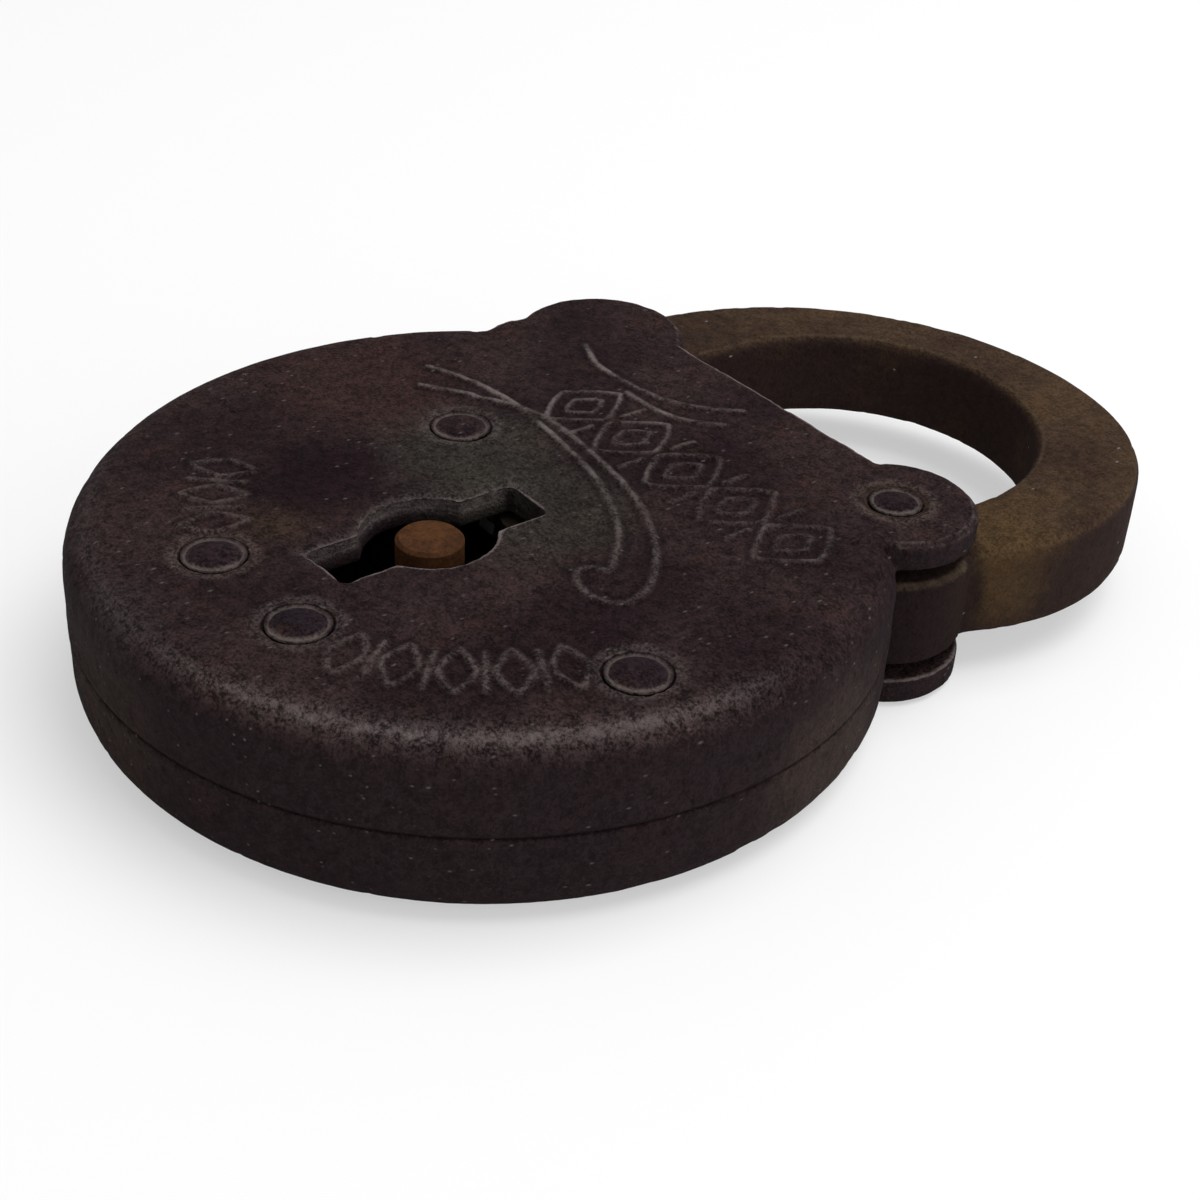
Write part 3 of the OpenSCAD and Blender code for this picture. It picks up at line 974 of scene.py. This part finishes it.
@dataclass
class Case:
    """The two riveted shells with their ornament, rivets and key post."""

    shop: EffectShop
    voxel: float = 0.24
    back_voxel: float = 0.26
    key_r: float = 4.7
    slot_half_w: float = 2.25
    slot_reach: float = 8.5
    shoulder_r: float = 3.4
    flat_r: float = 26.6
    rivet_nodes: tuple[str, ...] = ("pivot_rivet", "upper_rivet", "left_rivet", "bottom_rivet", "right_rivet")
    design: FaceDesign = field(default_factory=FaceDesign)

    def __post_init__(self) -> None:
        """Reads the case's sizes from its nodes."""
        low, high = box_mm("front_shell")
        self.top = float(high[2])
        self.seam_z = float(low[2])
        self.radius = float(-low[1])
        self.key = centre_mm("key_post")
        self.upper = centre_mm("upper_rivet")
        self.left = centre_mm("left_rivet")
        self.pivot = centre_mm("pivot_rivet")
        self.rivets = [centre_mm(node) for node in self.rivet_nodes]

    def iron(self) -> Finish:
        """Gives the finish of the shells.

        Returns:
            The finish.
        """
        top = self.top
        key_x, key_y = self.key[:2]
        green = (0.036, 0.0325, 0.0270)
        ochre = (0.048, 0.030, 0.017)
        left_shoulder_painted_reflection = (0.030, 0.0265, 0.030)
        deep = (0.0110, 0.0050, 0.0070)
        rust = (0.044, 0.023, 0.020)
        left_wall_painted_light = (0.034, 0.022, 0.019)
        right_wall_painted_light = (0.048, 0.034, 0.029)
        return Finish(
            "rusted_case_iron", "case_iron", base=(0.0345, 0.0205, 0.0205), shade=(0.0185, 0.0102, 0.0120),
            # The flank colour darkens the side walls as painted shade.
            warm=(0.038, 0.0200, 0.0165), worn=(0.160, 0.130, 0.125), flank=(0.0210, 0.0136, 0.0152),
            # The pale nicks on the case are partly bare metal and partly painted glints on the edges of pits.
            nick_share=0.36, seed=1.0, nick=(0.110, 0.092, 0.088), specular=0.03, bump_mm=0.22,
            worn_metallic=0.5, worn_roughness=0.5,
            stains=(
                Stain((self.upper[0] + 4.0, self.upper[1] - 1.5, top), 3.5, 6.5, 4.0, 5.0, green, 0.7),
                Stain((key_x + 2.0, key_y + 8.0, top), 3.0, 7.0, 4.0, 5.0, green, 0.6),
                Stain((key_x - 7.0, key_y - 8.0, top), 1.2, 3.0, 3.0, 2.0, ochre, 0.45),
                Stain((self.left[0], self.left[1], top), 2.2, 1.6, 1.2, 1.5, ochre, 0.35),
                Stain((self.pivot[0], self.pivot[1], top), 2.0, 1.6, 1.0, 1.5, ochre, 0.6),
                # Painted reflection: a bluish-grey patch low on the left shoulder.
                Stain((-1.0, -28.5, top - 1.5), 2.0, 4.0, 3.0, 4.0, left_shoulder_painted_reflection, 0.3),
                Stain((-20.0, 2.0, top), 4.0, 7.0, 4.0, 5.0, rust, 0.6),
                # Painted light: lighter patches on the left and the right side walls, where more light falls.
                Stain((-1.0, -30.0, 6.0), 3.5, 6.0, 3.0, 5.0, left_wall_painted_light, 0.7),
                Stain((29.5, 9.0, 5.0), 3.5, 5.5, 3.0, 5.0, right_wall_painted_light, 0.75),
                Stain((-9.0, -9.0, top), 2.5, 5.0, 5.0, 4.0, deep, 0.9),
                Stain((6.0, 17.5, top), 1.5, 5.0, 5.0, 3.5, deep, 0.6),
                Stain((19.0, -7.0, top), 2.5, 6.0, 5.0, 3.5, deep, 0.65),
            ),
        )

    def key_gap(self, points: np.ndarray) -> np.ndarray:
        """Gives each point's distance from the keyhole's outline, in plan."""
        away = np.abs(points[:, :2] - self.key[:2])
        slot = np.maximum(away[:, 0] - self.slot_half_w, away[:, 1] - self.slot_reach)
        return np.minimum(np.hypot(away[:, 0], away[:, 1]) - self.key_r, slot)

    def front_relief(self, points: np.ndarray, normals: np.ndarray) -> Relief:
        """Shapes the keyhole side: ornament, a rolled keyhole rim, a ridge and a thin seam, with painted
        highlight on the ridge, the rolled rim and the line crests, and painted shade in the rivet gaps and at
        the feet of the lines.

        Args:
            points: The skin's points in millimetres.
            normals: Their normals.

        Returns:
            The relief, the wear and the painted light.
        """
        face = ramp(normals[:, 2], 0.8, 0.95) * (points[:, 2] > self.top - 0.3)
        inside = self.design.field(points) * face
        raised, crest, foot = np.zeros((3, len(points)))
        flat = np.nonzero((face > 0.5) & (np.hypot(points[:, 0], points[:, 1]) < 28))[0]
        raised[flat], crest[flat], foot[flat] = line_relief(self.design.lines(), points[flat])
        worn = 0.75 + 0.25 * Grain(1.6, 51).at(points) - 0.2 * ramp(Grain(0.5, 52).at(points), 0.1, 0.8)
        patchy = 0.82 + 0.18 * Grain(2.2, 53).at(points)
        upper_left = ramp(points[:, 0] + 0.4 * points[:, 1], 16.0, -2.0) * ramp(points[:, 1], -12.0, 2.0)

        rolled = ramp(self.key[0] - points[:, 0], -1.0, 3.0) * ramp(self.key_gap(points), 1.3, 0.0)
        rolled *= points[:, 2] > self.top - 1.2
        # The shoulder's bright ridge is partly wear and partly painted highlight; its glow is painted
        # highlight.
        ridge, glow = self.shoulder_wear_and_highlight(points)
        rings, moats = self.rivet_marks(points, face)
        seam = self.seam(points, normals)
        return Relief(
            sink=seam.sink + 0.05 * inside + 0.30 * rolled**2 + 0.05 * moats + 0.04 * foot - raised * worn,
            # Painted shade: the gaps round the rivets and the feet of the stamped lines are darkened.
            dark=np.maximum.reduce([0.25 * inside, 0.4 * foot, 0.45 * moats, seam.dark]),
            bare=np.maximum.reduce([(0.65 + 0.4 * upper_left) * crest * worn * patchy, 0.5 * rolled, ridge]),
            plain=seam.plain,
            # Painted highlight: the glow along the shoulder, the line crests and the rolled keyhole rim; the
            # rings round the rivets are wear.
            painted_highlight_and_wear=np.maximum.reduce([glow, 0.28 * rings, 0.5 * crest**2 * patchy, 0.4 * rolled]),
        )

    def shoulder_wear_and_highlight(self, points: np.ndarray) -> tuple[np.ndarray, np.ndarray]:
        """Works out the wear and the painted highlight along the rounded shoulder, from how far round it each
        point lies.

        Args:
            points: The skin's points in millimetres.

        Returns:
            The bright broken ridge, partly wear and partly painted highlight, and the painted glow round it.
        """
        middle = self.top - self.shoulder_r
        out = np.hypot(points[:, 0], points[:, 1]) - self.flat_r
        bend = np.degrees(np.arctan2(out, points[:, 2] - middle))
        bend[points[:, 2] < middle] = 90
        # Painted highlight: the ridge and its glow are kept to the side toward the camera, with a weaker
        # painted glow low on the left shoulder.
        near = ramp(points[:, :2] @ TOWARD_CAMERA, 15.0, 28.0)
        ridge = ramp(bend, 14, 29) * ramp(bend, 45, 33)
        glow = 0.35 * ramp(bend, -10, 26) * ramp(bend, 62, 40) + 0.65 * ridge
        glow *= np.maximum(near, 0.35 * ramp(points[:, 1], -12.0, -26.0))
        broken = 0.78 + 0.45 * Grain(0.5, 91).at(points) + 0.08 * Grain(3.5, 92).at(points)
        return 0.62 * ridge * near * np.clip(broken, 0.2, 1), 0.6 * glow

    def rivet_marks(self, points: np.ndarray, face: np.ndarray) -> tuple[np.ndarray, np.ndarray]:
        """Finds the rubbed ring round each rivet and the gap round it, which is darkened as painted shade.

        Args:
            points: The skin's points in millimetres.
            face: Where the flat face is.

        Returns:
            The rings and the gaps.
        """
        rings, moats = np.zeros((2, len(points)))
        for x, y, _ in self.rivets:
            gap = np.hypot(points[:, 0] - x, points[:, 1] - y)
            rings = np.maximum(rings, ramp(gap, 3.5, 2.9) * ramp(gap, 2.35, 2.7) * face)
            moats = np.maximum(moats, ramp(gap, 2.6, 2.3))
        return rings, moats * (points[:, 2] > self.top - 1.0)

    def seam(self, points: np.ndarray, normals: np.ndarray) -> Relief:
        """Keeps the seam thin, dark and free of wear.

        Args:
            points: A skin's points in millimetres.
            normals: Their normals.

        Returns:
            The relief and the wear.
        """
        away = np.abs(points[:, 2] - self.seam_z)
        outside = np.hypot(points[:, 0], points[:, 1]) > self.radius - 1.5
        facing = ramp(np.abs(normals[:, 2]), 0.5, 0.9) * (away < 0.35) * outside
        nothing = np.zeros(len(points))
        return Relief(-0.07 * facing, ramp(away, 0.22, 0.08), nothing, ramp(away, 1.0, 0.6), nothing)

    def by_seam(self, points: np.ndarray) -> np.ndarray:
        """Marks the points so close to the seam that their edges stay sharp."""
        return ramp(np.abs(points[:, 2] - self.seam_z), 0.9, 0.6)

    def hidden_inside(self, points: np.ndarray) -> np.ndarray:
        """Marks the points of a shell that can't be seen once the case is closed."""
        reach = np.hypot(points[:, 0], points[:, 1])
        by_key = np.abs(self.key_gap(points)) < 0.8
        outer = np.minimum(points[:, 2], self.top - points[:, 2]) < 1.1
        wall = (reach > self.radius - 1.1) | (points[:, 1] > self.radius - 8)
        return ~(outer | wall | by_key)

    def build(self) -> list[bpy.types.Object]:
        """Makes the case's pieces and dresses them.

        Returns:
            The new pieces.
        """
        iron = self.iron()
        material = iron.build(self.shop)
        front = Skin(
            "front_shell", "front_shell_skin", "case", self.voxel, soften=3, dent=0.08, pit=0.07, seed=11,
            hidden=self.hidden_inside, shape=self.front_relief, crisp=self.by_seam,
        ).build()
        back = Skin(
            "back_shell", "back_shell_skin", "case", self.back_voxel, soften=2, dent=0.08, pit=0.07, seed=23,
            hidden=self.hidden_inside, shape=self.seam, crisp=self.by_seam,
        ).build()
        for piece in (front, back):
            dress(piece, material)
        head = Finish(
            "rusted_rivet_iron", "rivet_iron", base=(0.020, 0.0125, 0.0145), shade=(0.011, 0.0072, 0.0100),
            warm=(0.025, 0.0135, 0.0105), worn=(0.105, 0.083, 0.076), bump_mm=0.08, warm_size=1.5, seed=5.0,
            nick_share=0.2, nick=(0.08, 0.07, 0.07), edge_range=(0.3, 1.1),
        )
        heads = [self.rivet(node, 31 + i) for i, node in enumerate(self.rivet_nodes)]
        rivet_material = head.build(self.shop)
        for piece in heads:
            dress(piece, rivet_material)
        bronze = Finish(
            "dull_post_bronze", "post_bronze", base=(0.066, 0.028, 0.0115), shade=(0.042, 0.018, 0.0090),
            warm=(0.080, 0.032, 0.0110), worn=(0.10, 0.05, 0.02), grain_depth=0.3, bump_mm=0.02,
            specular=0.03, patch_size=1.8, warm_size=1.2, seed=8.0,
        )
        dress_node("key_post", bronze.build(self.shop))
        return [front, back, *heads]

    def rivet(self, node: str, seed: int) -> bpy.types.Object:
        """Makes a rivet with a low dome and a painted rim highlight on its seen head.

        Args:
            node: The rivet's node.
            seed: Seed of its wear.

        Returns:
            The new piece.
        """
        centre, top = centre_mm(node), node_top(node)
        rim_r = float(box_mm(node)[1][0] - centre[0])

        def dome(points: np.ndarray, normals: np.ndarray) -> Relief:
            """Sinks the head towards its rim and paints a highlight on the rim toward the camera.

            Args:
                points: The rivet's points in millimetres.
                normals: Their normals.

            Returns:
                The relief, the wear and the painted highlight.
            """
            out = np.hypot(points[:, 0] - centre[0], points[:, 1] - centre[1]) / rim_r
            head = points[:, 2] > top - 0.5
            nothing = np.zeros(len(points))
            ring = ramp(out, 0.72, 0.9) * ramp(out, 1.03, 0.97) * head
            away = (points[:, :2] - centre[:2]) @ TOWARD_CAMERA
            side = ramp(np.abs(normals[:, 2]), 0.8, 0.4) * head
            # Painted highlight: a bright crescent on the head's rim, on the side toward the camera.
            lit = ring * (0.15 + 0.85 * ramp(away / rim_r, 0.0, 0.8))
            sink = 0.24 * ramp(out, 0.3, 1.2) * head * (1 - side) - 0.14 * side
            return Relief(sink, nothing, 0.75 * lit, nothing, lit)

        def buried(points: np.ndarray) -> np.ndarray:
            """Marks the shank inside the case."""
            return (points[:, 2] > 0.9) & (points[:, 2] < top - 1.1)

        return Skin(node, node + "_skin", "case", 0.13, 1, 0.03, 0.05, seed, buried, dome).build()


@dataclass
class Shackle:
    """The swinging bar."""

    shop: EffectShop
    voxel: float = 0.25

    def build(self) -> list[bpy.types.Object]:
        """Makes the bar's worn skin and dresses it.

        Returns:
            The new piece in a list.
        """
        skin = Skin(
            "shackle", "shackle_skin", "shackle", self.voxel, soften=2, dent=0.10, pit=0.04, seed=37,
            hidden=lambda points: np.zeros(len(points), bool),
        ).build()
        x, y, z = centre_mm("pivot_rivet")
        heel = (x + 3, y + 6, node_top("shackle"))
        golden = (0.075, 0.045, 0.020)
        knuckle_dark = (0.0150, 0.0095, 0.0095)
        iron = Finish(
            "rusted_shackle_iron", "shackle_iron", base=(0.058, 0.0355, 0.0215),
            shade=(0.034, 0.0205, 0.0150), warm=(0.066, 0.040, 0.0200), worn=(0.085, 0.060, 0.040),
            # The flank colour darkens the bar's sides: partly their own duller rust, partly painted shade.
            flank=(0.0230, 0.0140, 0.0130),
            grain_depth=0.45, patch_size=12.0, seed=11.0, nick_share=0.015,
            stains=(
                Stain(heel, 3.0, 6.0, 4.0, 5.0, golden, 0.7),
                # Darker round the knuckle at the pivot.
                Stain((x, y, z), 6.6, 1.6, 0.8, 2.0, knuckle_dark, 0.85),
            ),
        )
        dress(skin, iron.build(self.shop))
        return [skin]


def node_top(node: str) -> float:
    """Gives the height of a node's top, in millimetres."""
    return float(box_mm(node)[1][2])


@dataclass
class Mechanism:
    """The bolt, levers, springs and pins inside the case."""

    shop: EffectShop

    def build(self) -> None:
        """Dresses the pieces of the mechanism."""
        # The lever brass is dark: partly tarnish, partly painted shade for the inside of the case seen
        # through the slot.
        brass = Finish(
            "tarnished_and_shaded_lever_brass", "lever_brass", base=(0.024, 0.016, 0.009), shade=(0.012, 0.008, 0.006),
            warm=(0.028, 0.017, 0.010), worn=(0.16, 0.12, 0.06), metallic=0.6, worn_metallic=0.95,
            grain_depth=0.15, bump_mm=0.012, roughness=(0.35, 0.55), specular=0.5, seed=14.0,
        )
        heavy = Finish(
            "tarnished_bolt_brass", "bolt_brass", base=(0.030, 0.021, 0.012), shade=(0.016, 0.012, 0.008),
            warm=(0.034, 0.021, 0.012), worn=(0.20, 0.15, 0.08), metallic=0.6, worn_metallic=0.95,
            grain_depth=0.2, bump_mm=0.02, roughness=(0.4, 0.6), specular=0.5, seed=17.0,
        )
        spring = Finish(
            "blued_spring_steel", "spring_steel", base=(0.10, 0.105, 0.13), shade=(0.05, 0.045, 0.05),
            warm=(0.12, 0.06, 0.035), worn=(0.35, 0.34, 0.33), metallic=0.9, worn_metallic=1.0,
            grain_depth=0.15, bump_mm=0.008, roughness=(0.3, 0.5), specular=0.5, seed=20.0, warm_size=1.5,
        )
        pin = Finish(
            "turned_pin_steel", "pin_steel", base=(0.22, 0.21, 0.20), shade=(0.10, 0.08, 0.07),
            warm=(0.12, 0.055, 0.03), worn=(0.4, 0.39, 0.37), metallic=0.9, worn_metallic=1.0,
            grain_depth=0.2, bump_mm=0.012, roughness=(0.35, 0.55), specular=0.5, seed=23.0, warm_size=2.0,
        )
        finishes = {finish.slot: finish.build(self.shop) for finish in (brass, heavy, spring, pin)}
        for part in frame["record"]["subparts"]:
            if part["material_slot"] in finishes:
                dress_node(part["node"], finishes[part["material_slot"]])
                LOG.info("dressed %s", part["node"])


def dress(piece: bpy.types.Object, material: bpy.types.Material) -> None:
    """Gives a new piece its finish."""
    piece.data.materials.clear()
    piece.data.materials.append(material)


def dress_node(node: str, material: bpy.types.Material) -> None:
    """Gives a construction node its finish."""
    for slot in frame["nodes"][node].material_slots:
        slot.material = material


# ----------------------------------------------------------------------------- stage


@dataclass(frozen=True)
class Studio:
    """The floor, the soft lights and the camera."""

    azimuth: float = 50.8
    elevation: float = 32.934
    roll: float = 3.3
    eye: tuple[float, float, float] = (103.697, -73.471, 87.968)
    lens: float = 61.08
    floor_half: float = 3000.0

    def build(self) -> None:
        """Sets up the floor, the world, the lamps and the camera."""
        self._floor()
        self._world()
        self._lamp("top_lamp", (110.0, 230.0, 690.0), 560.0, 4.1)
        self._lamp("side_lamp", (660.0, 120.0, 340.0), 440.0, 1.3)
        self._camera()
        bpy.context.scene.view_settings.view_transform = "Standard"

    def _floor(self) -> None:
        """Makes the pale floor that the lock lies on."""
        half = self.floor_half * MM
        level = CAD_BOUNDS[0][2]
        mesh = bpy.data.meshes.new("floor")
        corners = [(-half, -half, level), (half, -half, level), (half, half, level), (-half, half, level)]
        mesh.from_pydata(corners, [], [(0, 1, 2, 3)])
        floor = bpy.data.objects.new("floor", mesh)
        bpy.context.scene.collection.objects.link(floor)
        material = bpy.data.materials.new("floor_paper")
        material.use_nodes = True
        graph = Graph(material.node_tree)
        shader = material.node_tree.nodes["Principled BSDF"]
        shader.inputs["Base Color"].default_value = (0.92, 0.92, 0.92, 1)
        shader.inputs["Roughness"].default_value = 1.0
        shader.inputs["Specular IOR Level"].default_value = 0.0
        light = graph.add("ShaderNodeLightPath")
        glow = graph.add("ShaderNodeEmission", {"Color": (1, 1, 1, 1), "Strength": 0.95})
        place = graph.add("ShaderNodeNewGeometry").outputs["Position"]
        away = graph.add("ShaderNodeVectorMath", {0: place}, operation="LENGTH").outputs["Value"]
        even = graph.ramp(away, 150 * MM, 450 * MM, (0.5, 1.0))
        share = graph.math("MULTIPLY", light.outputs["Is Camera Ray"], even)
        both = graph.add("ShaderNodeMixShader", {0: share, 1: shader.outputs[0], 2: glow.outputs[0]})
        graph.link(both.outputs[0], material.node_tree.nodes["Material Output"].inputs["Surface"])
        mesh.materials.append(material)

    def _world(self) -> None:
        """Makes an even pale sky."""
        world = bpy.data.worlds.new("studio")
        world.use_nodes = True
        graph = Graph(world.node_tree)
        back = world.node_tree.nodes["Background"]
        light = graph.add("ShaderNodeLightPath")
        shown = graph.math("MAXIMUM", light.outputs["Is Camera Ray"], light.outputs["Is Glossy Ray"])
        shown = graph.math("MAXIMUM", shown, light.outputs["Is Transmission Ray"])
        strength = graph.math("ADD", graph.math("MULTIPLY", shown, 0.5), 0.45)
        graph.link(strength, back.inputs["Strength"])
        back.inputs["Color"].default_value = (1, 1, 1, 1)
        bpy.context.scene.world = world

    def _lamp(self, name: str, place: tuple[float, float, float], size: float, power: float) -> None:
        """Hangs one soft square lamp that points at the lock.

        Args:
            name: The lamp's name.
            place: Its middle in millimetres.
            size: Its side in millimetres.
            power: Its power in watts.
        """
        data = bpy.data.lights.new(name, "AREA")
        data.size = size * MM
        data.energy = power
        lamp = bpy.data.objects.new(name, data)
        bpy.context.scene.collection.objects.link(lamp)
        lamp.location = Vector(place) * MM
        lamp.rotation_euler = (-lamp.location).to_track_quat("-Z", "Y").to_euler()

    def _camera(self) -> None:
        """Places the camera from its eye point, its direction and its roll."""
        turn, tilt, roll = (math.radians(a) for a in (self.azimuth, self.elevation, self.roll))
        ahead = Vector((-math.sin(turn) * math.cos(tilt), math.cos(turn) * math.cos(tilt), -math.sin(tilt)))
        level = ahead.cross(Vector((0, 0, 1))).normalized()
        above = level.cross(ahead)
        right = level * math.cos(roll) + above * math.sin(roll)
        above = right.cross(ahead)
        data = bpy.data.cameras.new("camera")
        data.lens = self.lens
        data.clip_start = 1 * MM
        camera = bpy.data.objects.new("camera", data)
        bpy.context.scene.collection.objects.link(camera)
        turned = Matrix((right, above, -ahead)).transposed().to_4x4()
        camera.matrix_world = Matrix.Translation(Vector(self.eye) * MM) @ turned
        bpy.context.scene.camera = camera


def report(pieces: Iterable[bpy.types.Object]) -> None:
    """Logs each piece with its number of faces."""
    for piece in pieces:
        LOG.info("%s: %d faces", piece.name, len(piece.data.polygons))


def main() -> None:
    """Builds the looks in order."""
    logging.basicConfig(level=logging.INFO, format="%(name)s %(message)s")
    shop = EffectShop()
    Studio().build()
    report(Case(shop).build())
    report(Shackle(shop).build())
    Mechanism(shop).build()


if __name__ == "__main__":
    main()
